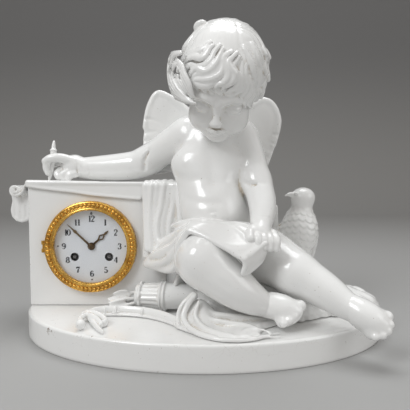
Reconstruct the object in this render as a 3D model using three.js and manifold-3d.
// Porcelain mantel clock: a seated winged child beside a rectangular clock case.
// Units are millimetres. +X is to the right, +Y away from the viewer, +Z up.
// The origin is at the bottom centre of the whole object's box.
import * as THREE from "three";
import { mergeVertices } from "three/addons/utils/BufferGeometryUtils.js";
import Module from "manifold-3d";

const wasm = await Module();
wasm.setup();

// Driving dimensions of the porcelain
const SLIP_GAP = 0.3; // between two sections, or a section and what rests on it
const BASE_RADIUS_X = 215; // half width of the base
const BASE_RADIUS_Y = 140; // its rounded front, from the widest line
const BASE_WIDEST_Y = 29;
const BASE_X = 8;
const BASE_BACK_LENGTH = 81; // from the widest line to the straight back
const BASE_CORNER = 14;
const BASE_HEIGHT = 28;
const BASE_EDGE = 2.5; // rounding of the top edge
const BASE_WALL = 10;
const BASE_DECK = 8;
const BLOCK_LEFT = -205;
const BLOCK_WIDTH = 167;
const BLOCK_HEIGHT = 145;
const BLOCK_FRONT = 11;
const BLOCK_DEPTH = 89;
const BLOCK_WALL = 8;
const SHEET_THICKNESS = 4.4;
const SHEET_OVERHANG = 3;
const FLAP_DROP_LEFT = 0.5;
const FLAP_DROP_RIGHT = 15;
const ROLL_RADIUS = 6.4;
const ROLL_STRIP = 2.2;
const ROLL_PITCH = 3.8;

// Driving dimensions of the clock, from its centre on the front face
const CLOCK_INSET = 76; // centre of the dial from the left side of the block
const BEZEL_RADIUS = 55;
const BEZEL_DEPTH = 7.4;
const BEZEL_WIDTH = 11.2; // from the visible dial to the outer edge
const GLASS_THICKNESS = 1.5;
const GLASS_REBATE = 3;
const RING_THICKNESS = 2.2; // flange of the fixed ring
const SLEEVE_WALL = 2;
const SLEEVE_LENGTH = 13;
const DIAL_THICKNESS = 1.5;
const DIAL_SETBACK = 0.7; // front of the enamel in front of the block's face
const WINDING_X = 20.8;
const WINDING_DROP = 13;
const WINDING_HOLE = 5.2;
const WINDING_SQUARE = 3.6;
const REGULATOR_INSET = 4.4; // of the regulating square inside the visible dial
const HAND_THICKNESS = 0.7;
const HAND_GAP = 0.6;
const MINUTE_HAND = 38.5;
const HOUR_HAND = 28;
const MINUTE_ANGLE = 46.6; // degrees to the left of twelve
const HOUR_ANGLE = -47.6;
const HINGE_PIN_RADIUS = 1.1;
const HINGE_LENGTH = 14;

// Driving dimensions of the movement
const PLATE_INSET = 1.3; // of the plates inside the visible dial
const PLATE_THICKNESS = 2;
const PLATE_SPACING = 24;
const MOTION_SPACE = 6.5; // between the dial plate and the front plate
const ARBOR = 0.75; // radius of a wheel's arbor
const RUNNING_GAP = 0.35;
const BARREL_DEPTH = 11;
const BARREL_DRUM = 15.2;
const WHEEL_THICKNESS = 1.1;
const PILLAR_RADIUS = 2;
const BELL_RADIUS = 33;
const BELL_DEPTH = 16;
const BELL_WALL = 1.2;
const BELL_SETBACK = 18; // rim of the bell behind the back plate
const HAMMER_RADIUS = 4;
const PENDULUM_CLEARANCE = 4.8; // under the rod, above the floor of the case
const PENDULUM_TAIL = 3; // of the rod below the bob
const BOB_RADIUS = 13;
const BOB_THICKNESS = 5;
const OPENING_ROOM = 0.5; // round the sleeve and the straps
const REAR_RING_WIDTH = 9;

// Places worked out from the sizes above
const SIGHT_RADIUS = BEZEL_RADIUS - BEZEL_WIDTH; // visible dial
const PLATE_RADIUS = SIGHT_RADIUS - PLATE_INSET;
const REGULATOR_HEIGHT = SIGHT_RADIUS - REGULATOR_INSET;
const BLOCK_TOP = SLIP_GAP + BLOCK_HEIGHT;
const SHEET_TOP = BLOCK_TOP + SLIP_GAP + SHEET_THICKNESS;
const CLOCK_X = BLOCK_LEFT + CLOCK_INSET;
const CLOCK_Z = SLIP_GAP + BLOCK_HEIGHT / 2;
const RING_FRONT = -SLIP_GAP - RING_THICKNESS;
const DOOR_BACK = RING_FRONT - SLIP_GAP;
const DOOR_FRONT = DOOR_BACK - BEZEL_DEPTH;
const GLASS_FRONT = DOOR_FRONT + GLASS_REBATE + SLIP_GAP;
const GLASS_BACK = GLASS_FRONT + GLASS_THICKNESS;
const SLEEVE_INNER = SIGHT_RADIUS + 2.2;
const SLEEVE_OUTER = SLEEVE_INNER + SLEEVE_WALL;
const FRONT_OPENING = SLEEVE_OUTER + OPENING_ROOM;
const REAR_OPENING = FRONT_OPENING;
const DIAL_FRONT = -DIAL_SETBACK;
const DIAL_BACK = DIAL_FRONT + DIAL_THICKNESS;
const HOUR_FRONT = DIAL_FRONT - HAND_GAP - HAND_THICKNESS;
const MINUTE_FRONT = HOUR_FRONT - HAND_GAP - HAND_THICKNESS;
const NUT_FRONT = GLASS_BACK + HAND_GAP * 0.7;
const DIAL_PLATE_FRONT = DIAL_BACK + SLIP_GAP;
const DIAL_PLATE_BACK = DIAL_PLATE_FRONT + 1.4;
const PLATE_FRONT = DIAL_PLATE_BACK + MOTION_SPACE;
const PLATE_INSIDE = PLATE_FRONT + PLATE_THICKNESS;
const REAR_PLATE = PLATE_INSIDE + PLATE_SPACING;
const REAR_PLATE_BACK = REAR_PLATE + PLATE_THICKNESS;
const BLOCK_BACK = BLOCK_DEPTH;
const BELL_RIM = REAR_PLATE_BACK + BELL_SETBACK;
const BELL_BACK = BELL_RIM + BELL_DEPTH;

// Materials
const glaze = new THREE.MeshStandardMaterial({ color: 0xf1f0ec, roughness: 0.18, metalness: 0 });
const gilt = new THREE.MeshStandardMaterial({ color: 0xc9952c, roughness: 0.3, metalness: 1 });
const brass = new THREE.MeshStandardMaterial({ color: 0xb8994f, roughness: 0.35, metalness: 1 });
const steel = new THREE.MeshStandardMaterial({ color: 0x8a8c90, roughness: 0.3, metalness: 1 });
const bellMetal = new THREE.MeshStandardMaterial({ color: 0xb9a878, roughness: 0.2, metalness: 1 });
const enamel = new THREE.MeshStandardMaterial({ color: 0xf4f6fa, roughness: 0.15, metalness: 0 });
const handBronze = new THREE.MeshStandardMaterial({ color: 0x7a5a26, roughness: 0.4, metalness: 1 });
const clearGlass = new THREE.MeshStandardMaterial({
  color: 0xffffff,
  roughness: 0.05,
  metalness: 0,
  transparent: true,
  opacity: 0.3,
});

// Solids from geometry, and back

function solid(geometry) {
  const plain = geometry.index ? geometry.clone() : geometry;
  for (const name of Object.keys(plain.attributes)) {
    if (name !== "position") plain.deleteAttribute(name);
  }
  const merged = mergeVertices(plain, 1e-4);
  const source = merged.index.array;
  const kept = [];
  for (let i = 0; i < source.length; i += 3) {
    const [a, b, c] = [source[i], source[i + 1], source[i + 2]];
    if (a !== b && b !== c && c !== a) kept.push(a, b, c);
  }
  const build = (corners) =>
    new wasm.Manifold(
      new wasm.Mesh({
        numProp: 3,
        vertProperties: new Float32Array(merged.attributes.position.array),
        triVerts: new Uint32Array(corners),
      }),
    );
  const made = build(kept);
  if (made.volume() > 0) return made;
  for (let i = 0; i < kept.length; i += 3) [kept[i + 1], kept[i + 2]] = [kept[i + 2], kept[i + 1]];
  return build(kept);
}

// The largest body of a cut solid: crumbs that a cut leaves behind are dropped.
function mainBody(made) {
  const bodies = made.decompose();
  return bodies.reduce((best, body) => (body.volume() > best.volume() ? body : best), bodies[0]);
}

function piece(name, made, material) {
  const data = mainBody(made).getMesh();
  const geometry = new THREE.BufferGeometry();
  geometry.setAttribute("position", new THREE.BufferAttribute(Float32Array.from(data.vertProperties), 3));
  geometry.setIndex(new THREE.BufferAttribute(Uint32Array.from(data.triVerts), 1));
  geometry.computeVertexNormals();
  const mesh = new THREE.Mesh(geometry, material);
  mesh.name = name;
  return mesh;
}

const join = (first, ...others) => others.reduce((sum, other) => sum.add(other), first);
const cut = (first, ...others) => others.reduce((rest, other) => rest.subtract(other), first);
const degrees = THREE.MathUtils.degToRad;
const polar = (radius, angle) => [radius * Math.cos(angle), radius * Math.sin(angle)];

// A box from its low corner to its high corner.
function block(x0, y0, z0, x1, y1, z1) {
  const geometry = new THREE.BoxGeometry(x1 - x0, y1 - y0, z1 - z0);
  geometry.translate((x0 + x1) / 2, (y0 + y1) / 2, (z0 + z1) / 2);
  return solid(geometry);
}

// A shape drawn in X and Z, from depth y0 to y1.
function slab(outline, y0, y1, holes = []) {
  const shape = new THREE.Shape(outline.map(([x, z]) => new THREE.Vector2(x, z)));
  for (const hole of holes) shape.holes.push(new THREE.Path(hole.map(([x, z]) => new THREE.Vector2(x, z))));
  const geometry = new THREE.ExtrudeGeometry(shape, { depth: y1 - y0, bevelEnabled: false });
  geometry.rotateX(Math.PI / 2);
  geometry.translate(0, y1, 0);
  return solid(geometry);
}

function circle(x, z, radius, count = 12, phase = 0) {
  return Array.from({ length: count }, (_, i) => {
    const [dx, dz] = polar(radius, phase + (2 * Math.PI * i) / count);
    return [x + dx, z + dz];
  });
}

// A round rod along Y.
const rod = (x, z, radius, y0, y1, count = 10) => slab(circle(x, z, radius, count), y0, y1);

// A turned solid about the Y axis; its profile closes on itself or ends on the axis.
function turned(profile, count = 36) {
  return solid(new THREE.LatheGeometry(profile.map(([r, y]) => new THREE.Vector2(r, y)), count));
}

const ring = (inner, outer, y0, y1, count = 36) =>
  turned([[inner, y0], [outer, y0], [outer, y1], [inner, y1], [inner, y0]], count);

// A squashed ball.
function ball(x, y, z, rx, ry, rz, grow = 0, across = 10, along = 6) {
  const geometry = new THREE.SphereGeometry(1, across, along);
  geometry.rotateX(Math.PI / 2);
  geometry.scale(rx + grow, ry + grow, rz + grow);
  geometry.translate(x, y, z);
  return solid(geometry);
}

// A limb: rounded sections along a smooth curve through stations of x, y, z, half width and half depth.
function limb(stations, { grow = 0, sides = 10, steps = 2, facing = [0, 1, 0], tip = 1 } = {}) {
  const places = stations.map(([x, y, z]) => new THREE.Vector3(x, y, z));
  const curve = new THREE.CatmullRomCurve3(places, false, "centripetal");
  const last = stations.length - 1;
  const rings = [];
  const count = last * steps;
  const depthWay = new THREE.Vector3(...facing);
  for (let i = 0; i <= count; i++) {
    const t = i / count;
    const at = Math.min(Math.floor(t * last), last - 1);
    const part = t * last - at;
    const ease = part * part * (3 - 2 * part);
    const wide = (k) => stations[k][3];
    const deep = (k) => stations[k][4] ?? stations[k][3];
    const along = curve.getTangent(t);
    const side = new THREE.Vector3().crossVectors(depthWay, along).normalize();
    rings.push({
      centre: curve.getPoint(t),
      along,
      side,
      front: new THREE.Vector3().crossVectors(along, side).normalize(),
      wide: THREE.MathUtils.lerp(wide(at), wide(at + 1), ease) + grow,
      deep: THREE.MathUtils.lerp(deep(at), deep(at + 1), ease) + grow,
    });
  }
  const domed = [];
  const capAngles = [0.85, 0.45];
  const dome = (from, sign) =>
    capAngles.map((share) => {
      const angle = share * Math.PI * 0.5;
      const reach = Math.min(from.wide, from.deep) * tip * Math.sin(angle) * sign;
      return {
        ...from,
        centre: from.centre.clone().addScaledVector(from.along, reach),
        wide: from.wide * Math.cos(angle),
        deep: from.deep * Math.cos(angle),
      };
    });
  domed.push(...dome(rings[0], -1), ...rings, ...dome(rings[count], 1).reverse());
  const poleOf = (from, sign) =>
    from.centre.clone().addScaledVector(from.along, Math.min(from.wide, from.deep) * tip * sign);
  const positions = [];
  for (const one of domed) {
    for (let k = 0; k < sides; k++) {
      const [c, s] = polar(1, (2 * Math.PI * k) / sides);
      const point = one.centre.clone().addScaledVector(one.side, c * one.wide);
      point.addScaledVector(one.front, s * one.deep);
      positions.push(point.x, point.y, point.z);
    }
  }
  return closed(positions, domed.length, sides, poleOf(rings[0], -1), poleOf(rings[count], 1));
}

// Rings of equal count become a closed skin with a point at either end.
function closed(positions, ringCount, sides, start, end) {
  const all = [...positions, start.x, start.y, start.z, end.x, end.y, end.z];
  const first = ringCount * sides;
  const corners = [];
  for (let i = 0; i < ringCount - 1; i++) {
    for (let k = 0; k < sides; k++) {
      const next = (k + 1) % sides;
      const [a, b] = [i * sides + k, i * sides + next];
      const [c, d] = [a + sides, b + sides];
      corners.push(a, b, c, b, d, c);
    }
  }
  for (let k = 0; k < sides; k++) {
    const next = (k + 1) % sides;
    corners.push(first, next, k);
    corners.push(first + 1, (ringCount - 1) * sides + k, (ringCount - 1) * sides + next);
  }
  const geometry = new THREE.BufferGeometry();
  geometry.setAttribute("position", new THREE.Float32BufferAttribute(all, 3));
  geometry.setIndex(corners);
  return solid(geometry);
}

// Flat outlines stacked at heights, closed by a point in the middle of each end.
function stack(levels) {
  const sides = levels[0].outline.length;
  const positions = levels.flatMap(({ outline, z }) => outline.flatMap(([x, y]) => [x, y, z]));
  const middle = ({ outline, z }) => {
    const sum = outline.reduce(([sx, sy], [x, y]) => [sx + x, sy + y], [0, 0]);
    return new THREE.Vector3(sum[0] / sides, sum[1] / sides, z);
  };
  return closed(positions, levels.length, sides, middle(levels[0]), middle(levels[levels.length - 1]));
}

// A folded sheet: a strip of four-cornered panels, thickened along one direction.
function plate(corners, thickness) {
  const positions = corners.flat();
  const back = corners.map(([x, y, z]) => [x + thickness[0], y + thickness[1], z + thickness[2]]).flat();
  const count = corners.length;
  const triangles = [];
  for (let k = 1; k < count - 1; k++) {
    triangles.push(0, k, k + 1);
    triangles.push(count, count + k + 1, count + k);
  }
  for (let k = 0; k < count; k++) {
    const next = (k + 1) % count;
    triangles.push(k, count + k, next, next, count + k, count + next);
  }
  const geometry = new THREE.BufferGeometry();
  geometry.setAttribute("position", new THREE.Float32BufferAttribute([...positions, ...back], 3));
  geometry.setIndex(triangles);
  return solid(geometry);
}

// Base

function baseOutline(inset) {
  const points = [];
  const front = 36;
  const radiusX = BASE_RADIUS_X - inset;
  const radiusY = BASE_RADIUS_Y - inset;
  for (let i = 0; i <= front; i++) {
    const [c, s] = polar(1, Math.PI + (Math.PI * i) / front);
    points.push([BASE_X + radiusX * c, BASE_WIDEST_Y + radiusY * s]);
  }
  const corner = BASE_CORNER - inset;
  const back = BASE_WIDEST_Y + BASE_BACK_LENGTH - inset;
  for (const [sign, start] of [[1, 0], [-1, 90]]) {
    for (let i = 0; i <= 6; i++) {
      const [c, s] = polar(corner, degrees(start + i * 15));
      points.push([BASE_X + sign * (radiusX - corner) + c, back - corner + s]);
    }
  }
  return points;
}

function basePlinth() {
  const body = stack([
    { outline: baseOutline(0), z: 0 },
    { outline: baseOutline(0), z: BASE_HEIGHT - BASE_EDGE },
    { outline: baseOutline(BASE_EDGE * 0.3), z: BASE_HEIGHT - BASE_EDGE * 0.3 },
    { outline: baseOutline(BASE_EDGE), z: BASE_HEIGHT },
  ]);
  const hollow = stack([
    { outline: baseOutline(BASE_WALL), z: -1 },
    { outline: baseOutline(BASE_WALL), z: BASE_HEIGHT - BASE_DECK },
  ]);
  return cut(body, hollow);
}

// Clock case. From here on z is measured from the top of the base.

const BLOCK_RIGHT = BLOCK_LEFT + BLOCK_WIDTH;

function clockBlock() {
  const back = BLOCK_FRONT + BLOCK_DEPTH;
  const outer = block(BLOCK_LEFT, BLOCK_FRONT, SLIP_GAP, BLOCK_RIGHT, back, BLOCK_TOP);
  const inner = block(
    BLOCK_LEFT + BLOCK_WALL,
    BLOCK_FRONT + BLOCK_WALL,
    SLIP_GAP + BLOCK_WALL,
    BLOCK_RIGHT - BLOCK_WALL,
    back - BLOCK_WALL,
    BLOCK_TOP - BLOCK_WALL,
  );
  const front = rod(CLOCK_X, CLOCK_Z, FRONT_OPENING, BLOCK_FRONT - 1, BLOCK_FRONT + BLOCK_WALL + 1, 40);
  const rear = rod(CLOCK_X, CLOCK_Z, REAR_OPENING, back - BLOCK_WALL - 1, back + 1, 40);
  return cut(outer, inner, front, rear);
}

// The sheet's left end: a strip that rolls up on itself beside the block.
function rollOutline() {
  const middle = [BLOCK_LEFT - 2 * ROLL_RADIUS - 4, SHEET_TOP - ROLL_RADIUS - 2.6];
  const turns = 1.35;
  const count = 22;
  const outer = [];
  const inner = [];
  for (let i = 0; i <= count; i++) {
    const turn = (turns * i) / count;
    const radius = ROLL_RADIUS - ROLL_PITCH * turn;
    const angle = Math.PI * 0.42 + 2 * Math.PI * turn;
    const [ox, oz] = polar(radius + ROLL_STRIP / 2, angle);
    const [ix, iz] = polar(Math.max(radius - ROLL_STRIP / 2, 0.2), angle);
    outer.push([middle[0] + ox, middle[1] + oz]);
    inner.push([middle[0] + ix, middle[1] + iz]);
  }
  const corner = [BLOCK_LEFT + 1, SHEET_TOP];
  const under = [BLOCK_LEFT + 1, SHEET_TOP - SHEET_THICKNESS * 0.6];
  return [corner, ...outer, ...inner.reverse(), under];
}

// The tongue under the roll, and the edge of the sheet that hangs behind it.
function hangingEnd() {
  const x = BLOCK_LEFT - 19;
  const top = SHEET_TOP - 2 * ROLL_RADIUS - 1.5;
  const tongue = [
    [x + 17.5, top], [x + 17.5, top - 23], [x + 14, top - 27], [x + 7, top - 29], [x, top - 27],
    [x - 5, top - 21], [x - 8, top - 14], [x - 6.4, top - 6], [x - 7, top],
  ];
  const edge = [[x - 4, top - 20], [x, top - 20], [x + 9, top - 112], [x + 5.5, top - 112]];
  return { tongue, edge };
}

function parchmentSheet(grow = 0) {
  const front = BLOCK_FRONT - SHEET_OVERHANG;
  const back = BLOCK_FRONT + BLOCK_DEPTH + SHEET_OVERHANG;
  const low = SHEET_TOP - SHEET_THICKNESS - grow;
  const top = block(BLOCK_LEFT, front - grow, low, BLOCK_RIGHT - 2, back, SHEET_TOP + grow);
  const flap = slab(
    [
      [BLOCK_LEFT, SHEET_TOP - 1],
      [BLOCK_LEFT, low - FLAP_DROP_LEFT],
      [BLOCK_RIGHT - 29, low - FLAP_DROP_RIGHT],
      [BLOCK_RIGHT - 23, low - FLAP_DROP_RIGHT * 0.7],
      [BLOCK_RIGHT - 20, SHEET_TOP - 1],
    ],
    front - grow,
    BLOCK_FRONT - SLIP_GAP + grow,
  );
  const roll = slab(rollOutline(), front + 2, back - 6);
  const { tongue, edge } = hangingEnd();
  return join(top, flap, roll, slab(tongue, front + 12, back - 8), slab(edge, back - 50, back - 9));
}

// Child. Stations are x, y, z, half width, half depth, measured from the top of the base.
const HAND_REST = SHEET_TOP + SLIP_GAP;
const TORSO = [
  [38, 6, 48, 44, 38],
  [31, 0, 76, 45, 40],
  [15, -8, 116, 41, 38],
  [11, -3, 146, 40, 34],
  [12, 6, 172, 41, 29],
  [17, 13, 196, 40, 24],
  [22, 10, 212, 27, 20],
  [26, -10, 234, 19, 19],
];
const RIGHT_ARM = [
  [-10, 18, 206, 21],
  [-42, 30, HAND_REST + 40, 18],
  [-73, 41, HAND_REST + 20, 16],
  [-108, 41, HAND_REST + 15.6, 15.3],
  [-145, 38, HAND_REST + 14.6, 11.5],
];
const RIGHT_HAND = [-168, 33, HAND_REST + 16, 22, 17, 15.6];
const LEFT_ARM = [
  [49, 8, 202, 21],
  [59, -4, 176, 18],
  [66, -20, 148, 16],
  [69, -38, 124, 15],
  [67, -54, 106, 11.5],
];
const LEFT_HAND = [62, -63, 95, 14, 15, 12];
const RIGHT_THIGH = [
  [22, -8, 74, 33],
  [10, -38, 74, 31],
  [6, -64, 71, 26],
];
const RIGHT_SHIN = [
  [8, -67, 68, 25],
  [34, -72, 47, 21],
  [66, -66, 27, 14.5],
];
const RIGHT_FOOT = [
  [66, -62, 16, 13.5],
  [84, -66, 13, 12],
  [102, -69, 9.6, 12, 9],
];
const LEFT_LEG = [
  [62, 0, 71, 33],
  [84, -24, 63, 28.5],
  [106, -44, 53, 24],
  [134, -64, 37, 19],
  [154, -80, 25, 14],
];
const LEFT_FOOT = [
  [158, -84, 25, 14.5],
  [170, -90, 17, 17],
  [177, -93, 12, 13, 12],
];

const torsoSolid = (grow = 0) => limb(TORSO, { grow, sides: 16, steps: 2, facing: [0, 1, 0], tip: 0.6 });
const rightLegSolid = (grow = 0) =>
  join(
    limb(RIGHT_THIGH, { grow }),
    limb(RIGHT_SHIN, { grow }),
    limb(RIGHT_FOOT, { grow, facing: [0, 0, 1] }),
  );
const leftLegSolid = (grow = 0) => join(limb(LEFT_LEG, { grow }), limb(LEFT_FOOT, { grow, steps: 2 }));
const leftArmSolid = (grow = 0) => join(limb(LEFT_ARM, { grow }), ball(...LEFT_HAND, grow));
const rightArmSolid = (grow = 0) =>
  join(limb(RIGHT_ARM, { grow, facing: [0, 0, 1] }), ball(...RIGHT_HAND, grow));
const ground = () => block(-300, -200, -60, 300, 200, SLIP_GAP);

// Locks of hair are x, y, z and three half sizes.
const LOCKS = [
  [-14, -60, 274, 10, 12, 12],
  [-20, -52, 256, 10, 14, 15],
  [-16, -40, 240, 10, 12, 12],
  [2, -72, 296, 11, 10, 11],
  [66, -30, 292, 11, 16, 16],
  [68, -36, 262, 10, 16, 17],
  [60, -28, 240, 10, 14, 14],
  [44, -80, 254, 14, 13, 13],
  [20, -86, 276, 15, 10, 14],
  [36, -2, 240, 20, 12, 15],
];
const SKULL = [28, -41, 268, 49, 53, 55];
const FACE = [23, -40, 228, 31, 29, 36];
const headSolid = (grow = 0) =>
  join(
    ball(...SKULL, grow, 14, 8),
    ball(...FACE, grow),
    ...LOCKS.map((lock) => ball(...lock, grow, 8, 5)),
  );

const STYLUS = [
  [-183.4, 25, HAND_REST + 3, 2.4],
  [-182.4, 26, HAND_REST + 20, 3],
  [-181, 27.5, HAND_REST + 36, 3.2],
  [-180.7, 27.8, HAND_REST + 39, 5.4],
  [-180.4, 28, HAND_REST + 42, 3.4],
  [-179.5, 29, HAND_REST + 49, 2.4],
];
const stylusSolid = (grow = 0) => limb(STYLUS, { grow, sides: 8, steps: 1 });

// Wings are outlines in X and Z with a root that meets the back.
const RIGHT_WING = [
  [-73, 208], [-69, 236], [-61, 260], [-54, 268.5], [-45, 267], [-31, 260], [-18, 250],
  [0, 240], [12, 220], [12, 200], [-2, 180], [-34, 164], [-58, 160], [-72, 176],
];
const LEFT_WING = [
  [60, 236], [70, 252], [84, 260], [97, 254], [105, 243], [107.5, 230], [105, 218],
  [100, 197], [94, 183], [88, 168], [74, 160], [58, 172], [46, 196], [48, 220],
];
const WING_Y = 56;
const WING_REST = 150; // height of the block's sheet in the two outlines
const WING_THICKNESS = 9;

function wing(outline, rootX, grow = 0) {
  const lift = SHEET_TOP - WING_REST;
  const raised = outline.map(([x, z]) => [x, z + lift]);
  const spread = slab(raised, WING_Y - grow, WING_Y + WING_THICKNESS + grow);
  const root = ball(rootX, WING_Y - 12, 192 + lift, 15, 22, 24, grow);
  return cut(join(spread, root), torsoSolid(SLIP_GAP));
}

// Cloth, rock and trophies around the child

// Folds of the cloth over the end of the block, drawn in plan.
function drapePlan(left, right, front, back, folds, depth) {
  const points = [];
  const count = folds * 4;
  for (let i = 0; i <= count; i++) {
    const wave = Math.cos((2 * Math.PI * folds * i) / count);
    points.push([left + ((right - left) * i) / count, front - depth * (0.5 - 0.5 * wave)]);
  }
  for (let i = count; i >= 0; i--) points.push([left + ((right - left) * i) / count, back]);
  return points;
}

const DRAPE_LEFT = BLOCK_RIGHT - 28;
const DRAPE_RIGHT = BLOCK_RIGHT + 16;

function blockDrape() {
  const back = BLOCK_FRONT - SHEET_OVERHANG - 2 * SLIP_GAP;
  const curtain = stack([
    { outline: drapePlan(DRAPE_LEFT + 8, DRAPE_RIGHT + 8, back - 12, back, 3, 8), z: 26 },
    { outline: drapePlan(DRAPE_LEFT + 2, DRAPE_RIGHT + 2, back - 5, back, 3, 6), z: 86 },
    { outline: drapePlan(DRAPE_LEFT, DRAPE_RIGHT, back - 3, back, 3, 4), z: SHEET_TOP - 6 },
    { outline: drapePlan(DRAPE_LEFT + 1, DRAPE_RIGHT - 1, back - 1.5, back, 3, 3), z: SHEET_TOP + 6 },
  ]);
  const low = SHEET_TOP + SLIP_GAP;
  const over = block(DRAPE_LEFT + 1, back - 1, low, DRAPE_RIGHT - 1, back + 88, SHEET_TOP + 5.5);
  const behind = block(BLOCK_RIGHT + SLIP_GAP, back - 2, 26, DRAPE_RIGHT - 2, back + 60, SHEET_TOP + 4);
  const swag = (lift) =>
    limb([
      [DRAPE_LEFT + 12, -8, 92 + lift, 9],
      [-30, -28, 82 + lift, 9],
      [-12, -52, 66 + lift, 9],
    ], { sides: 7, steps: 1 });
  return cut(
    join(curtain, over, behind, swag(0), swag(-18)),
    torsoSolid(SLIP_GAP),
    rightLegSolid(SLIP_GAP),
    rightArmSolid(SLIP_GAP),
    quiverSolid(SLIP_GAP),
    seatSolid(SLIP_GAP),
  );
}

const MOUNDS = [
  [38, 20, 0, 66, 56, 66],
  [98, -8, 0, 52, 44, 40],
  [166, 4, 0, 48, 38, 26],
];
const seatSolid = (grow = 0) => join(...MOUNDS.map((mound) => ball(...mound, grow, 14, 7)));

const CLOTH_EDGE = [
  [-22, -50], [-20, -66], [-6, -80], [6, -92], [22, -102], [42, -104], [58, -99], [66, -90],
  [62, -78], [76, -62], [96, -52], [70, -40], [30, -38], [0, -40],
];

function clothOutline(inset) {
  const [cx, cy] = [30, -70];
  return CLOTH_EDGE.map(([x, y]) => {
    const length = Math.hypot(x - cx, y - cy);
    const share = (length - inset) / length;
    return [cx + (x - cx) * share, cy + (y - cy) * share];
  });
}

const clothSolid = (grow = 0) =>
  stack([
    { outline: clothOutline(-grow), z: SLIP_GAP },
    { outline: clothOutline(1.5 - grow), z: 5 + grow },
    { outline: clothOutline(8 - grow), z: 9 + grow },
  ]);

const LAP_TOP = [[-8, -66, 104], [44, -90, 78], [66, -78, 90], [62, -50, 104], [20, -34, 112]];
const LAP_SIDE = [[44, -90, 82], [66, -78, 94], [70, -66, 76], [46, -86, 62]];

function lapCloth() {
  const top = plate(LAP_TOP, [2, 2, 7]);
  const side = plate(LAP_SIDE, [-5, 6, 0]);
  return cut(
    join(top, side),
    torsoSolid(SLIP_GAP),
    rightLegSolid(SLIP_GAP),
    leftLegSolid(SLIP_GAP),
    leftArmSolid(SLIP_GAP),
  );
}

const QUIVER = [[-14, -14, 19, 15], [-40, -11, 18, 16], [-66, -7, 17.5, 14.5]];
const ARROWS = [[-64, -8, 16.5, 10], [-84, -10, 14, 8.5], [-102, -12, 10.5, 8]];
const quiverSolid = (grow = 0) => limb(QUIVER, { grow, steps: 2, facing: [0, 0, 1], tip: 0.15 });
const arrowSolid = (grow = 0) => limb(ARROWS, { grow, sides: 8, steps: 1, facing: [0, 0, 1], tip: 0.3 });
const BOW = [
  [-126, -34, 4.8, 3.6],
  [-117, -27, 5.6, 4.8],
  [-102, -25, 6, 5.4],
  [-78, -26, 6, 5.4],
  [-54, -34, 6, 5.4],
  [-36, -46, 6, 5.4],
  [-22, -60, 5.6, 4.6],
];
const bowSolid = (grow = 0) => limb(BOW, { grow, sides: 8, steps: 2, facing: [0, 0, 1] });
const RIBBON = [
  [-123, -38, 4.4, 3],
  [-112, -46, 5, 3.8],
  [-100, -55, 5, 3.8],
  [-97, -63, 4.2, 3.4],
  [-105, -68, 4.4, 3.6],
  [-118, -73, 5.6, 5],
];

const DOVE = [
  [124, 54, 8, 20, 24],
  [122, 52, 48, 25, 27],
  [124, 48, 84, 26, 26],
  [130, 45, 112, 16, 17],
  [132, 44, 130, 14, 15],
];
const DOVE_BEAK = [[122, 42, 134, 6], [113, 40, 135.5, 1.6]];
const DOVE_WING = [[104, 50, 112, 7, 12], [104, 62, 84, 10, 20], [110, 74, 50, 8, 14]];
const doveSolid = (grow = 0) =>
  join(
    limb(DOVE, { grow, steps: 2, facing: [0, 1, 0] }),
    limb(DOVE_BEAK, { grow, sides: 8, steps: 1 }),
    limb(DOVE_WING, { grow, steps: 2, facing: [0, 1, 0] }),
  );

// Clock: depths are measured from the block's front face, x and z from the dial's centre.

const HINGE_X = -BEZEL_RADIUS - 2.6;
const HINGE_Y = DOOR_BACK + 0.1;
const KNUCKLE = HINGE_PIN_RADIUS + 1.1;

// One eye of a hinge whose pin stands along Z at x, y.
function hingeEye(x, y, z0, z1, reachX, thickness) {
  const knuckle = new THREE.CylinderGeometry(KNUCKLE, KNUCKLE, z1 - z0, 12);
  knuckle.rotateX(Math.PI / 2);
  knuckle.translate(x, y, (z0 + z1) / 2);
  const low = Math.min(...thickness);
  const high = Math.max(...thickness);
  return join(solid(knuckle), block(Math.min(x, reachX), low, z0, Math.max(x, reachX), high, z1));
}

function pinHole(x, y, length) {
  const hole = new THREE.CylinderGeometry(HINGE_PIN_RADIUS + 0.1, HINGE_PIN_RADIUS + 0.1, length + 4, 12);
  hole.rotateX(Math.PI / 2);
  hole.translate(x, y, 0);
  return solid(hole);
}

function hingePin(x, y, length) {
  const pin = new THREE.CylinderGeometry(HINGE_PIN_RADIUS, HINGE_PIN_RADIUS, length, 12);
  pin.rotateX(Math.PI / 2);
  pin.translate(x, y, 0);
  return solid(pin);
}

function bezelRing() {
  const body = turned([
    [SLEEVE_INNER, RING_FRONT],
    [BEZEL_RADIUS, RING_FRONT],
    [BEZEL_RADIUS, -SLIP_GAP],
    [SLEEVE_OUTER, -SLIP_GAP],
    [SLEEVE_OUTER, SLEEVE_LENGTH],
    [SLEEVE_INNER, SLEEVE_LENGTH],
    [SLEEVE_INNER, RING_FRONT],
  ]);
  const third = HINGE_LENGTH / 3;
  const seat = [RING_FRONT + 0.2, -SLIP_GAP];
  const eyes = [-1, 1].map((side) => {
    const z0 = side > 0 ? third / 2 + 0.3 : -HINGE_LENGTH / 2;
    const z1 = side > 0 ? HINGE_LENGTH / 2 : -third / 2 - 0.3;
    return hingeEye(HINGE_X, HINGE_Y, z0, z1, -BEZEL_RADIUS + 3, seat);
  });
  const clear = block(HINGE_X - 4, DOOR_FRONT - 1, -third / 2 - 0.3, -BEZEL_RADIUS + 1, 4, third / 2 + 0.3);
  return cut(join(body, ...eyes), clear, pinHole(HINGE_X, HINGE_Y, HINGE_LENGTH));
}

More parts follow.
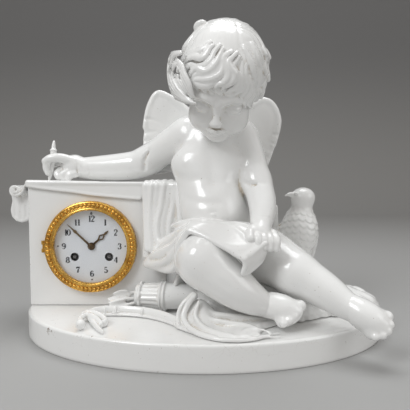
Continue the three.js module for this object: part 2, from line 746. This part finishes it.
function bezelDoor() {
  const body = turned([
    [SIGHT_RADIUS, DOOR_FRONT + GLASS_REBATE],
    [SIGHT_RADIUS, DOOR_FRONT + 2.4],
    [SIGHT_RADIUS + 2.9, DOOR_FRONT + 0.7],
    [SIGHT_RADIUS + 3.8, DOOR_FRONT + 2.6],
    [SIGHT_RADIUS + 5.2, DOOR_FRONT + 1.6],
    [SIGHT_RADIUS + 7.4, DOOR_FRONT],
    [SIGHT_RADIUS + 9.6, DOOR_FRONT + 1.8],
    [BEZEL_RADIUS, DOOR_FRONT + 2.4],
    [BEZEL_RADIUS, DOOR_BACK],
    [SLEEVE_INNER + 1, DOOR_BACK],
    [SLEEVE_INNER + 1, DOOR_FRONT + GLASS_REBATE],
    [SIGHT_RADIUS, DOOR_FRONT + GLASS_REBATE],
  ]);
  const third = HINGE_LENGTH / 3;
  const leaf = [DOOR_BACK - 1.8, DOOR_BACK];
  const eye = hingeEye(HINGE_X, HINGE_Y, -third / 2, third / 2, -BEZEL_RADIUS + 3, leaf);
  const room = block(HINGE_X - 4, DOOR_BACK - 3.2, -HINGE_LENGTH, HINGE_X + 4.2, DOOR_BACK + 3, HINGE_LENGTH);
  return cut(join(cut(body, room), eye), pinHole(HINGE_X, HINGE_Y, HINGE_LENGTH));
}

function dialGlass() {
  const radius = SIGHT_RADIUS + 2.6;
  return turned([[0, GLASS_FRONT], [radius, GLASS_FRONT], [radius, GLASS_BACK], [0, GLASS_BACK]], 48);
}

const windingHoles = (radius) =>
  [-1, 1].map((side) => circle(side * WINDING_X, -WINDING_DROP, radius, 14));

function dialDisc() {
  return slab(circle(0, 0, SLEEVE_INNER - 0.4, 48), DIAL_FRONT, DIAL_BACK, [
    circle(0, 0, 3.4, 14),
    ...windingHoles(WINDING_HOLE),
    circle(0, REGULATOR_HEIGHT, 1.5, 10),
  ]);
}

function dialPlate() {
  const disc = slab(circle(0, 0, SLEEVE_INNER - 0.4, 36), DIAL_PLATE_FRONT, DIAL_PLATE_BACK, [
    circle(0, 0, 3.8, 14),
    ...windingHoles(WINDING_HOLE + 0.3),
    circle(0, REGULATOR_HEIGHT, 1.5, 10),
  ]);
  const feet = [60, 180, 300].map((angle) => {
    const [x, z] = polar(PLATE_RADIUS - 4, degrees(angle));
    return rod(x, z, 1.6, DIAL_PLATE_BACK - 0.5, PLATE_FRONT - SLIP_GAP, 8);
  });
  return join(disc, ...feet);
}

function turnedOutline(outline, angle) {
  const [c, s] = polar(1, angle);
  return outline.map(([x, z]) => [x * c - z * s, x * s + z * c]);
}

function minuteHand() {
  const half = [
    [1.3, 3],
    [1, MINUTE_HAND * 0.6],
    [2, MINUTE_HAND * 0.68],
    [0.9, MINUTE_HAND * 0.76],
    [0.3, MINUTE_HAND],
  ];
  const outline = [...half, ...half.map(([x, z]) => [-x, z]).reverse(), [-1.3, 0], [1.3, 0]];
  const back = MINUTE_FRONT + HAND_THICKNESS;
  const blade = slab(turnedOutline(outline, degrees(MINUTE_ANGLE)), MINUTE_FRONT, back);
  const boss = rod(0, 0, 4, MINUTE_FRONT, back, 20);
  const hole = rod(0, 0, CANNON_PIPE + RUNNING_GAP - 0.1, MINUTE_FRONT - 1, MINUTE_FRONT + 2);
  return cut(join(blade, boss), hole);
}

function hourHand() {
  const half = [
    [1.5, 3],
    [1.1, HOUR_HAND * 0.4],
    [3.6, HOUR_HAND * 0.58],
    [1, HOUR_HAND * 0.76],
    [1.5, HOUR_HAND * 0.84],
    [0.3, HOUR_HAND],
  ];
  const outline = [...half, ...half.map(([x, z]) => [-x, z]).reverse(), [-1.5, 0], [1.5, 0]];
  const window = [[0, HOUR_HAND * 0.46], [2, HOUR_HAND * 0.58], [0, HOUR_HAND * 0.7], [-2, HOUR_HAND * 0.58]];
  const angle = degrees(HOUR_ANGLE);
  const back = HOUR_FRONT + HAND_THICKNESS;
  const blade = slab(turnedOutline(outline, angle), HOUR_FRONT, back, [turnedOutline(window, angle)]);
  const boss = rod(0, 0, 4.6, HOUR_FRONT, back, 20);
  return cut(join(blade, boss), rod(0, 0, HOUR_PIPE + RUNNING_GAP - 0.1, HOUR_FRONT - 1, back + 1, 12));
}

function handNut() {
  const back = MINUTE_FRONT - 0.3;
  return turned([[0, NUT_FRONT], [2.4, NUT_FRONT + 0.1], [3.6, back], [0, back]], 20);
}

// Movement. A wheel's place is its x and z from the dial's centre.

const BARREL = { teeth: 48, module: 0.7 };
const SECOND_PINION = { teeth: 8, module: 0.7 };
const SECOND = { teeth: 40, module: 0.63 };
const CENTRE_PINION = { teeth: 8, module: 0.63 };
const CENTRE = { teeth: 48, module: 0.48 };
const FAST_PINION = { teeth: 6, module: 0.48 };
const THIRD = { teeth: 45, module: 0.4267 };
const ESCAPE_PINION = { teeth: 6, module: 0.4267 };
const ESCAPE = { teeth: 20, module: 0.65 };
const PIN_WHEEL = { teeth: 42, module: 0.4267 };
const CANNON = { teeth: 8, module: 0.75 };
const MINUTE = { teeth: 24, module: 0.75 };
const MINUTE_PINION = { teeth: 8, module: 0.6 };
const HOUR = { teeth: 32, module: 0.6 };
const pitchRadius = ({ teeth, module }) => (teeth * module) / 2;
const reach = (one, other) => pitchRadius(one) + pitchRadius(other);
const step = (from, distance, angle) => {
  const [x, z] = polar(distance, degrees(angle));
  return [from[0] + x, from[1] + z];
};

const CENTRE_AT = [0, 0];
const GOING_AT = [WINDING_X, -WINDING_DROP];
const STRIKE_AT = [-WINDING_X, -WINDING_DROP];

// The place that is one distance from each of two others, on the left going from the first to the second.
function between(first, distance, second, other) {
  const gap = Math.hypot(second[0] - first[0], second[1] - first[1]);
  const along = (distance ** 2 - other ** 2 + gap ** 2) / (2 * gap);
  const off = Math.sqrt(distance ** 2 - along ** 2);
  const [ux, uz] = [(second[0] - first[0]) / gap, (second[1] - first[1]) / gap];
  return [first[0] + along * ux - off * uz, first[1] + along * uz + off * ux];
}

const GOING_SECOND_AT = between(
  CENTRE_AT,
  reach(SECOND, CENTRE_PINION),
  GOING_AT,
  reach(BARREL, SECOND_PINION),
);
const THIRD_AT = step(CENTRE_AT, reach(CENTRE, FAST_PINION), 110);
const ESCAPE_AT = step(THIRD_AT, reach(THIRD, ESCAPE_PINION), 66);
const ANCHOR_AT = [ESCAPE_AT[0], ESCAPE_AT[1] + pitchRadius(ESCAPE) * Math.SQRT2];
const STRIKE_SECOND_AT = step(STRIKE_AT, reach(BARREL, SECOND_PINION), 95);
const PIN_WHEEL_AT = step(STRIKE_SECOND_AT, reach(SECOND, CENTRE_PINION), 75);
const FLY_PINION = { teeth: 6, module: PIN_WHEEL.module };
const FLY_AT = step(PIN_WHEEL_AT, reach(PIN_WHEEL, FLY_PINION), 60);
const MINUTE_AT = step(CENTRE_AT, reach(CANNON, MINUTE), 150);
const HAMMER_AT = [PIN_WHEEL_AT[0] - 7.6, PIN_WHEEL_AT[1] + 9.1];
const PIN_CIRCLE = 7;
const CANNON_PIPE = 1.9;
const HOUR_PIPE = 2.9;

const BARREL_FRONT = PLATE_INSIDE + 2;
const BARREL_BACK = BARREL_FRONT + BARREL_DEPTH;
const SECOND_FRONT = BARREL_BACK + 2.4;
const PIN_PLANE = SECOND_FRONT + 4;
const ESCAPE_FRONT = PLATE_INSIDE + 6;
const THIRD_FRONT = ESCAPE_FRONT + 4;

// Pointed teeth: with these two heights a pair keeps a quarter of a pitch of play.
const ADDENDUM = 0.75;
const DEDENDUM = 1.3;

function toothed({ teeth, module }, phase) {
  const middle = (teeth * module) / 2;
  const pitch = (2 * Math.PI) / teeth;
  const points = [];
  for (let i = 0; i < teeth; i++) {
    const angle = phase + i * pitch;
    points.push(polar(middle + ADDENDUM * module, angle));
    points.push(polar(middle - DEDENDUM * module, angle + pitch / 2));
  }
  return points;
}

// The phase that puts a gap of the second wheel in front of a tooth of the first.
function meshed(first, firstAt, firstPhase, second, secondAt) {
  const line = Math.atan2(secondAt[1] - firstAt[1], secondAt[0] - firstAt[0]);
  const firstPitch = (2 * Math.PI) / first.teeth;
  const secondPitch = (2 * Math.PI) / second.teeth;
  const offset = (firstPhase - line) / firstPitch;
  return line + Math.PI - offset * secondPitch + secondPitch / 2;
}

function gear(wheel, at, phase, y0, thickness, bore = 0, crossings = 0) {
  const outline = toothed(wheel, phase).map(([x, z]) => [x + at[0], z + at[1]]);
  const holes = bore ? [circle(at[0], at[1], bore, 12)] : [];
  const rim = pitchRadius(wheel) - DEDENDUM * wheel.module - 1.2;
  for (let i = 0; i < crossings; i++) {
    const middle = (2 * Math.PI * i) / crossings;
    const spread = Math.PI / crossings - 0.22;
    const sector = [
      polar(2.8, middle),
      polar(rim, middle - spread),
      polar(rim, middle),
      polar(rim, middle + spread),
    ];
    holes.push(sector.map(([x, z]) => [x + at[0], z + at[1]]));
  }
  return slab(outline, y0, y0 + thickness, holes);
}

const arborRod = (at, radius = ARBOR, from = PLATE_FRONT + 0.4, to = REAR_PLATE_BACK - 0.4) =>
  rod(at[0], at[1], radius, from, to, 6);

// Each phase follows from the wheel that it meshes with, starting at the centre wheel.
const CENTRE_PHASE = 0;
const SECOND_PHASE = meshed(CENTRE_PINION, CENTRE_AT, 0, SECOND, GOING_SECOND_AT);
const BARREL_PHASE = meshed(SECOND_PINION, GOING_SECOND_AT, 0, BARREL, GOING_AT);
const THIRD_PINION_PHASE = meshed(CENTRE, CENTRE_AT, CENTRE_PHASE, FAST_PINION, THIRD_AT);
const ESCAPE_PINION_PHASE = meshed(THIRD, THIRD_AT, 0, ESCAPE_PINION, ESCAPE_AT);
const STRIKE_BARREL_PHASE = meshed(SECOND_PINION, STRIKE_SECOND_AT, 0, BARREL, STRIKE_AT);
const PIN_PINION_PHASE = meshed(SECOND, STRIKE_SECOND_AT, 0, CENTRE_PINION, PIN_WHEEL_AT);
const FLY_PINION_PHASE = meshed(PIN_WHEEL, PIN_WHEEL_AT, 0, FLY_PINION, FLY_AT);
const MINUTE_PHASE = meshed(CANNON, CENTRE_AT, 0, MINUTE, MINUTE_AT);
const HOUR_PHASE = meshed(MINUTE_PINION, MINUTE_AT, 0, HOUR, CENTRE_AT);

function barrel(at, phase) {
  const rimWheel = gear(BARREL, at, phase, BARREL_FRONT, 2, WINDING_ARBOR + RUNNING_GAP);
  const drum = slab(circle(at[0], at[1], BARREL_DRUM, 24), BARREL_FRONT + 1, BARREL_BACK, [
    circle(at[0], at[1], BARREL_DRUM - 1, 24),
  ]);
  return join(rimWheel, drum);
}

const WINDING_ARBOR = 2.1;

function windingArbor(at) {
  const front = DIAL_FRONT + 0.2;
  const corner = (WINDING_SQUARE / 2) * Math.SQRT2;
  const square = slab(circle(at[0], at[1], corner, 4, Math.PI / 4), front, PLATE_FRONT - 1);
  const body = rod(at[0], at[1], WINDING_ARBOR, PLATE_FRONT - 3, REAR_PLATE_BACK - 0.4, 12);
  const ratchet = slab(
    Array.from({ length: 28 }, (_, i) => {
      const [x, z] = polar(i % 2 ? 6 : 5, (2 * Math.PI * i) / 28 + (i % 2 ? 0.08 : 0));
      return [at[0] + x, at[1] + z];
    }),
    PLATE_FRONT - 2,
    PLATE_FRONT - 0.6,
  );
  return join(square, body, ratchet);
}

// A flat spiral between the arbor and the barrel's wall.
function mainspring(at) {
  const turns = 3.5;
  const count = 30;
  const from = WINDING_ARBOR + 0.5;
  const to = BARREL_DRUM - 2.2;
  const edge = (offset) =>
    Array.from({ length: count + 1 }, (_, i) => {
      const share = i / count;
      const [x, z] = polar(from + (to - from) * share + offset, 2 * Math.PI * turns * share);
      return [at[0] + x, at[1] + z];
    });
  return slab([...edge(0), ...edge(0.7).reverse()], BARREL_FRONT + 2.4, BARREL_BACK - 0.5);
}

function wheelAndPinion({
  wheel, wheelPhase, wheelFront, pinion, pinionPhase, pinionFront, pinionLength, at, crossings = 3,
}) {
  return join(
    gear(wheel, at, wheelPhase, wheelFront, WHEEL_THICKNESS, 0, crossings),
    gear(pinion, at, pinionPhase, pinionFront, pinionLength),
    arborRod(at),
  );
}

function goingSecondWheel() {
  return wheelAndPinion({
    wheel: SECOND, wheelPhase: SECOND_PHASE, wheelFront: SECOND_FRONT,
    pinion: SECOND_PINION, pinionPhase: 0, pinionFront: BARREL_FRONT - 0.4, pinionLength: 2.8,
    at: GOING_SECOND_AT,
  });
}

function centreWheel() {
  return join(
    gear(CENTRE, CENTRE_AT, CENTRE_PHASE, PIN_PLANE, WHEEL_THICKNESS, 0, 3),
    gear(CENTRE_PINION, CENTRE_AT, 0, SECOND_FRONT - 0.4, WHEEL_THICKNESS + 0.8),
    arborRod(CENTRE_AT, ARBOR, MINUTE_FRONT + 0.1),
  );
}

function thirdWheel() {
  return wheelAndPinion({
    wheel: THIRD, wheelPhase: 0, wheelFront: THIRD_FRONT,
    pinion: FAST_PINION, pinionPhase: THIRD_PINION_PHASE, pinionFront: PIN_PLANE - 0.4,
    pinionLength: WHEEL_THICKNESS + 0.8,
    at: THIRD_AT,
  });
}

function escapeWheel() {
  return wheelAndPinion({
    wheel: ESCAPE, wheelPhase: 0, wheelFront: ESCAPE_FRONT,
    pinion: ESCAPE_PINION, pinionPhase: ESCAPE_PINION_PHASE, pinionFront: THIRD_FRONT - 0.4,
    pinionLength: WHEEL_THICKNESS + 0.8,
    at: ESCAPE_AT, crossings: 0,
  });
}

const CRUTCH_Y = REAR_PLATE_BACK + 2.4;
const COCK_FRONT = CRUTCH_Y + 1.8;
const PENDULUM_Y = COCK_FRONT + 4;

function anchor() {
  const [x, z] = ANCHOR_AT;
  const half = [[0, 1.9], [6.8, -2.4], [5.7, -4.1], [4.6, -3.2], [0, -1.3]];
  const outline = [...half, ...half.slice(1, 4).reverse().map(([dx, dz]) => [-dx, dz])];
  const pallets = slab(outline.map(([dx, dz]) => [x + dx, z + dz]), ESCAPE_FRONT - 0.4, ESCAPE_FRONT + 1.5);
  const arbor = rod(x, z, ARBOR, PLATE_FRONT + 0.4, COCK_FRONT + 1.1, 8);
  const crutch = block(x - 0.9, CRUTCH_Y, z - 20, x + 0.9, CRUTCH_Y + 1, z + 1.2);
  const fork = [-1, 1].map((side) =>
    block(x + side * 2.2 - 0.6, CRUTCH_Y, z - 20, x + side * 2.2 + 0.6, PENDULUM_Y + 1.4, z - 18.4),
  );
  const bridge = block(x - 2.8, CRUTCH_Y, z - 20, x + 2.8, CRUTCH_Y + 1, z - 18.4);
  return join(pallets, arbor, crutch, bridge, ...fork);
}

function backCock() {
  const [x, z] = ANCHOR_AT;
  const foot = (side) => {
    const middle = x + side * 10;
    return block(middle - 2, REAR_PLATE_BACK + SLIP_GAP, z - 3, middle + 2, COCK_FRONT + 1.4, z + 5);
  };
  const bar = block(x - 12, COCK_FRONT, z - 3, x + 12, COCK_FRONT + 1.4, z + 5);
  const chops = block(x - 3, COCK_FRONT, z + 1.6, x + 3, PENDULUM_Y + 2, z + 5);
  const hole = rod(x, z, ARBOR + RUNNING_GAP, COCK_FRONT - 1, COCK_FRONT + 3);
  return cut(join(bar, foot(-1), foot(1), chops), hole);
}

const ROD_END = BLOCK_WALL + PENDULUM_CLEARANCE - BLOCK_HEIGHT / 2;
const BOB_Z = ROD_END + PENDULUM_TAIL + BOB_RADIUS;

function pendulumRod() {
  const [x, z] = ANCHOR_AT;
  return block(x - 1.1, PENDULUM_Y - 0.6, ROD_END, x + 1.1, PENDULUM_Y + 0.6, z + 1.3);
}

function pendulumBob() {
  const x = ANCHOR_AT[0];
  const disc = rod(x, BOB_Z, BOB_RADIUS, PENDULUM_Y - BOB_THICKNESS / 2, PENDULUM_Y + BOB_THICKNESS / 2, 28);
  const half = BOB_RADIUS + 1;
  const slot = block(x - 1.4, PENDULUM_Y - 0.9, BOB_Z - half, x + 1.4, PENDULUM_Y + 0.9, BOB_Z + half);
  return cut(disc, slot);
}

function cannonPinion() {
  return cut(
    join(
      gear(CANNON, CENTRE_AT, 0, PLATE_FRONT - 3.4, 2.2),
      rod(0, 0, CANNON_PIPE, MINUTE_FRONT + 0.1, PLATE_FRONT - 0.6, 12),
    ),
    rod(0, 0, ARBOR + RUNNING_GAP, MINUTE_FRONT - 1, PLATE_FRONT + 1, 10),
  );
}

function minuteWheel() {
  return join(
    gear(MINUTE, MINUTE_AT, MINUTE_PHASE, PLATE_FRONT - 2.8, WHEEL_THICKNESS, STUD + RUNNING_GAP),
    gear(MINUTE_PINION, MINUTE_AT, 0, PLATE_FRONT - 5.4, 2.8, STUD + RUNNING_GAP),
  );
}

function hourWheel() {
  const bore = CANNON_PIPE + RUNNING_GAP;
  return join(
    gear(HOUR, CENTRE_AT, HOUR_PHASE, PLATE_FRONT - 5, WHEEL_THICKNESS, bore),
    slab(circle(0, 0, HOUR_PIPE, 12), HOUR_FRONT + 0.1, PLATE_FRONT - 4, [circle(0, 0, bore, 12)]),
  );
}

const STUD = 0.9;
const PILLAR_INSET = 4;
const PILLARS = [35, 150, 90, 270].map((angle) => {
  const inset = angle > 180 ? PILLAR_INSET + 6.5 : PILLAR_INSET;
  return polar(PLATE_RADIUS - inset, degrees(angle));
});

// A round plate with a bore for every arbor that passes through it.
function boredPlate(y0, y1) {
  const fine = [
    GOING_SECOND_AT, THIRD_AT, ESCAPE_AT, ANCHOR_AT, CENTRE_AT,
    STRIKE_SECOND_AT, PIN_WHEEL_AT, FLY_AT, HAMMER_AT,
  ];
  const holes = fine.map(([x, z]) => circle(x, z, ARBOR + RUNNING_GAP, 6));
  for (const [x, z] of [GOING_AT, STRIKE_AT]) holes.push(circle(x, z, WINDING_ARBOR + RUNNING_GAP, 12));
  return slab(circle(0, 0, PLATE_RADIUS, 32), y0, y1, holes);
}

function frontPlate() {
  const stud = rod(MINUTE_AT[0], MINUTE_AT[1], STUD, PLATE_FRONT - 5.6, PLATE_FRONT + 0.5, 8);
  return join(boredPlate(PLATE_FRONT, PLATE_INSIDE), stud);
}

function backPlate() {
  const front = PLATE_INSIDE + SLIP_GAP;
  const pillars = PILLARS.map(([x, z]) => rod(x, z, PILLAR_RADIUS, front, REAR_PLATE + 0.5, 8));
  return join(boredPlate(REAR_PLATE, REAR_PLATE_BACK), ...pillars);
}

function strikeSecondWheel() {
  return wheelAndPinion({
    wheel: SECOND, wheelPhase: 0, wheelFront: SECOND_FRONT,
    pinion: SECOND_PINION, pinionPhase: 0, pinionFront: BARREL_FRONT - 0.4, pinionLength: 2.8,
    at: STRIKE_SECOND_AT,
  });
}

function pinWheel() {
  const pins = [0, 1, 2, 3, 4, 5].map((i) => {
    const [x, z] = step(PIN_WHEEL_AT, PIN_CIRCLE, 22 + i * 60);
    return rod(x, z, 0.5, PIN_PLANE - 2.2, PIN_PLANE + 0.4, 5);
  });
  return join(
    gear(PIN_WHEEL, PIN_WHEEL_AT, 0, PIN_PLANE, WHEEL_THICKNESS),
    gear(CENTRE_PINION, PIN_WHEEL_AT, PIN_PINION_PHASE, SECOND_FRONT - 0.4, WHEEL_THICKNESS + 0.8),
    arborRod(PIN_WHEEL_AT),
    ...pins,
  );
}

function fly() {
  const [x, z] = FLY_AT;
  return join(
    gear(FLY_PINION, FLY_AT, FLY_PINION_PHASE, PIN_PLANE - 0.4, WHEEL_THICKNESS + 0.8),
    arborRod(FLY_AT, 0.8),
    block(x - 4.2, PLATE_INSIDE + 3, z - 0.4, x + 4.2, PLATE_INSIDE + 14, z + 0.4),
  );
}

const HAMMER_HEAD = polar(BELL_RADIUS + HAMMER_RADIUS + 0.5, degrees(165));

function hammer() {
  const [x, z] = HAMMER_AT;
  const [hx, hz] = HAMMER_HEAD;
  const y = BELL_RIM + 2;
  const length = Math.hypot(hx - x, hz - z);
  const [ux, uz] = [(hx - x) / length, (hz - z) / length];
  const arm = slab([[x - uz, z + ux], [x + uz, z - ux], [hx + uz, hz - ux], [hx - uz, hz + ux]], y, y + 1.6);
  const toPins = Math.hypot(PIN_WHEEL_AT[0] - x, PIN_WHEEL_AT[1] - z);
  const tailLength = toPins - PIN_CIRCLE - 0.5 - 0.5;
  const [tx, tz] = [(PIN_WHEEL_AT[0] - x) / toPins, (PIN_WHEEL_AT[1] - z) / toPins];
  const tail = slab(
    [[x - tz * 0.7, z + tx * 0.7], [x + tz * 0.7, z - tx * 0.7], [x + tx * tailLength, z + tz * tailLength]],
    PIN_PLANE - 2,
    PIN_PLANE - 0.6,
  );
  const arbor = rod(x, z, ARBOR, PLATE_FRONT + 0.4, y + 1.6, 8);
  return join(arbor, arm, tail, rod(hx, hz, HAMMER_RADIUS, y - 4, y + 6, 14));
}

function bell() {
  const crown = BELL_BACK - BELL_WALL;
  return turned([
    [BELL_RADIUS - BELL_WALL, BELL_RIM],
    [BELL_RADIUS, BELL_RIM],
    [BELL_RADIUS - 2, BELL_RIM + BELL_DEPTH * 0.5],
    [BELL_RADIUS - 8, BELL_RIM + BELL_DEPTH * 0.85],
    [12, BELL_BACK],
    [1.9, BELL_BACK],
    [1.9, crown],
    [12, crown],
    [BELL_RADIUS - 8.8, BELL_RIM + BELL_DEPTH * 0.85 - BELL_WALL],
    [BELL_RADIUS - 2 - BELL_WALL, BELL_RIM + BELL_DEPTH * 0.5],
    [BELL_RADIUS - BELL_WALL, BELL_RIM],
  ], 20);
}

function bellStand() {
  const [x, z] = polar(BELL_RADIUS + 4, degrees(-34));
  const length = Math.hypot(x, z);
  const [ux, uz] = [x / length, z / length];
  const y = BELL_BACK + SLIP_GAP;
  const [sx, sz] = [uz * 1.8, -ux * 1.8];
  const arm = slab([[sx, sz], [-sx, -sz], [x - sx, z - sz], [x + sx, z + sz]], y, y + 1.8);
  const post = rod(x, z, 1.8, REAR_PLATE_BACK + SLIP_GAP, y + 1.8, 10);
  return join(arm, rod(0, 0, 1.5, BELL_BACK - 4, y + 1, 10), post);
}

// The straps run from the sleeve to the rear ring, inside both openings.
function strap(angle) {
  const width = 5;
  const [near, far] = [SLEEVE_INNER + 0.1, SLEEVE_INNER + 1.6];
  const outline = [[near, -width], [far, -width], [far, width], [near, width]];
  return slab(turnedOutline(outline, degrees(angle)), SLEEVE_LENGTH + SLIP_GAP, BLOCK_BACK);
}

const REAR_HINGE_X = -REAR_OPENING - REAR_RING_WIDTH + 1;
const REAR_RING_BACK = BLOCK_BACK + SLIP_GAP + RING_THICKNESS;
const REAR_HINGE_Y = REAR_RING_BACK + KNUCKLE + 0.2;

function backRing() {
  const outer = REAR_OPENING + REAR_RING_WIDTH - 4;
  const body = ring(REAR_OPENING - 4, outer, BLOCK_BACK + SLIP_GAP, REAR_RING_BACK, 36);
  const third = HINGE_LENGTH / 3;
  const eyes = [[-HINGE_LENGTH / 2, -third / 2 - 0.3], [third / 2 + 0.3, HINGE_LENGTH / 2]].map(([z0, z1]) =>
    join(
      hingeEye(REAR_HINGE_X, REAR_HINGE_Y, z0, z1, REAR_HINGE_X + 0.5, [BLOCK_BACK + SLIP_GAP, REAR_HINGE_Y]),
      block(REAR_HINGE_X, BLOCK_BACK + SLIP_GAP, z0, REAR_HINGE_X + 8, REAR_RING_BACK, z1),
    ),
  );
  const pin = hingePin(REAR_HINGE_X, REAR_HINGE_Y, HINGE_LENGTH - 1);
  return join(body, ...eyes, pin);
}

function backDoor() {
  const front = REAR_RING_BACK + SLIP_GAP;
  const disc = rod(0, 0, REAR_OPENING + 1, front, front + 1.4, 36);
  const third = HINGE_LENGTH / 3;
  const eye = cut(
    hingeEye(REAR_HINGE_X, REAR_HINGE_Y, -third / 2, third / 2, -REAR_OPENING + 3, [front, front + 1.4]),
    pinHole(REAR_HINGE_X, REAR_HINGE_Y, HINGE_LENGTH),
  );
  const knob = rod(REAR_OPENING - 5, 0, 2.2, front + 1, front + 4.5, 10);
  return join(disc, eye, knob);
}

// Assembly

const model = new THREE.Group();
model.add(piece("base_plinth", basePlinth(), glaze));

const onBase = new THREE.Group();
onBase.position.z = BASE_HEIGHT;
model.add(onBase);
onBase.add(
  piece("clock_block", clockBlock(), glaze),
  piece("parchment_sheet", parchmentSheet(), glaze),
  piece("block_drape", blockDrape(), glaze),
  piece("torso", torsoSolid(), glaze),
  piece("head", cut(headSolid(), torsoSolid(SLIP_GAP)), glaze),
  piece(
    "right_arm",
    cut(rightArmSolid(), torsoSolid(SLIP_GAP), headSolid(SLIP_GAP), stylusSolid(SLIP_GAP)),
    glaze,
  ),
  piece(
    "left_arm",
    cut(leftArmSolid(), torsoSolid(SLIP_GAP), headSolid(SLIP_GAP), leftLegSolid(SLIP_GAP)),
    glaze,
  ),
  piece("right_leg", cut(rightLegSolid(), torsoSolid(SLIP_GAP), ground()), glaze),
  piece("left_leg", cut(leftLegSolid(), torsoSolid(SLIP_GAP), rightLegSolid(SLIP_GAP)), glaze),
  piece("right_wing", cut(wing(RIGHT_WING, -8), rightArmSolid(SLIP_GAP), headSolid(SLIP_GAP)), glaze),
  piece(
    "left_wing",
    cut(
      wing(LEFT_WING, 48),
      leftArmSolid(SLIP_GAP),
      headSolid(SLIP_GAP),
      wing(RIGHT_WING, -8, SLIP_GAP),
    ),
    glaze,
  ),
  piece("stylus", stylusSolid(), glaze),
  piece("lap_cloth", lapCloth(), glaze),
  piece(
    "seat_mound",
    cut(
      seatSolid(),
      torsoSolid(SLIP_GAP),
      rightLegSolid(SLIP_GAP),
      leftLegSolid(SLIP_GAP),
      ground(),
      quiverSolid(SLIP_GAP),
    ),
    glaze,
  ),
  piece(
    "ground_cloth",
    cut(
      clothSolid(),
      rightLegSolid(SLIP_GAP),
      seatSolid(SLIP_GAP),
      quiverSolid(SLIP_GAP),
      bowSolid(SLIP_GAP),
    ),
    glaze,
  ),
  piece("quiver", cut(quiverSolid(), rightLegSolid(SLIP_GAP)), glaze),
  piece("arrows", cut(arrowSolid(), quiverSolid(SLIP_GAP)), glaze),
  piece("bow", cut(bowSolid(), arrowSolid(SLIP_GAP), quiverSolid(SLIP_GAP)), glaze),
  piece(
    "bow_ribbon",
    cut(limb(RIBBON, { sides: 8, steps: 2, facing: [0, 0, 1] }), bowSolid(SLIP_GAP)),
    glaze,
  ),
  piece("dove", cut(doveSolid(), seatSolid(SLIP_GAP), leftLegSolid(SLIP_GAP), ground()), glaze),
);

const clock = new THREE.Group();
clock.position.set(CLOCK_X, BLOCK_FRONT, CLOCK_Z);
onBase.add(clock);
clock.add(
  piece("bezel_ring", bezelRing(), gilt),
  piece("bezel_door", bezelDoor(), gilt),
  piece("bezel_hinge_pin", hingePin(HINGE_X, HINGE_Y, HINGE_LENGTH), gilt),
  piece("dial_glass", dialGlass(), clearGlass),
  piece("dial", dialDisc(), enamel),
  piece("dial_plate", dialPlate(), brass),
  piece("hour_hand", hourHand(), handBronze),
  piece("minute_hand", minuteHand(), handBronze),
  piece("hand_nut", handNut(), handBronze),
  piece("regulator_arbor", rod(0, REGULATOR_HEIGHT, 1, DIAL_FRONT + 0.2, PLATE_FRONT - SLIP_GAP, 8), steel),
  piece("going_winding_arbor", windingArbor(GOING_AT), steel),
  piece("strike_winding_arbor", windingArbor(STRIKE_AT), steel),
  piece("front_plate", frontPlate(), brass),
  piece("back_plate", backPlate(), brass),
  piece("going_barrel", barrel(GOING_AT, BARREL_PHASE), brass),
  piece("strike_barrel", barrel(STRIKE_AT, STRIKE_BARREL_PHASE), brass),
  piece("going_mainspring", mainspring(GOING_AT), steel),
  piece("strike_mainspring", mainspring(STRIKE_AT), steel),
  piece("going_second_wheel", goingSecondWheel(), brass),
  piece("centre_wheel", centreWheel(), brass),
  piece("third_wheel", thirdWheel(), brass),
  piece("escape_wheel", escapeWheel(), brass),
  piece("anchor", anchor(), steel),
  piece("cannon_pinion", cannonPinion(), steel),
  piece("minute_wheel", minuteWheel(), brass),
  piece("hour_wheel", hourWheel(), brass),
  piece("strike_second_wheel", strikeSecondWheel(), brass),
  piece("pin_wheel", pinWheel(), brass),
  piece("fly", fly(), steel),
  piece("hammer", hammer(), steel),
  piece("bell", bell(), bellMetal),
  piece("bell_stand", bellStand(), brass),
  piece("back_cock", backCock(), brass),
  piece("pendulum_rod", pendulumRod(), steel),
  piece("pendulum_bob", pendulumBob(), brass),
  piece("strap_upper", strap(20), brass),
  piece("strap_lower", strap(200), brass),
  piece("back_ring", backRing(), brass),
  piece("back_door", backDoor(), brass),
);

// The origin goes to the bottom centre of the whole box.
const box = new THREE.Box3().setFromObject(model, true);
model.position.set(-(box.min.x + box.max.x) / 2, -(box.min.y + box.max.y) / 2, -box.min.z);

export default model;
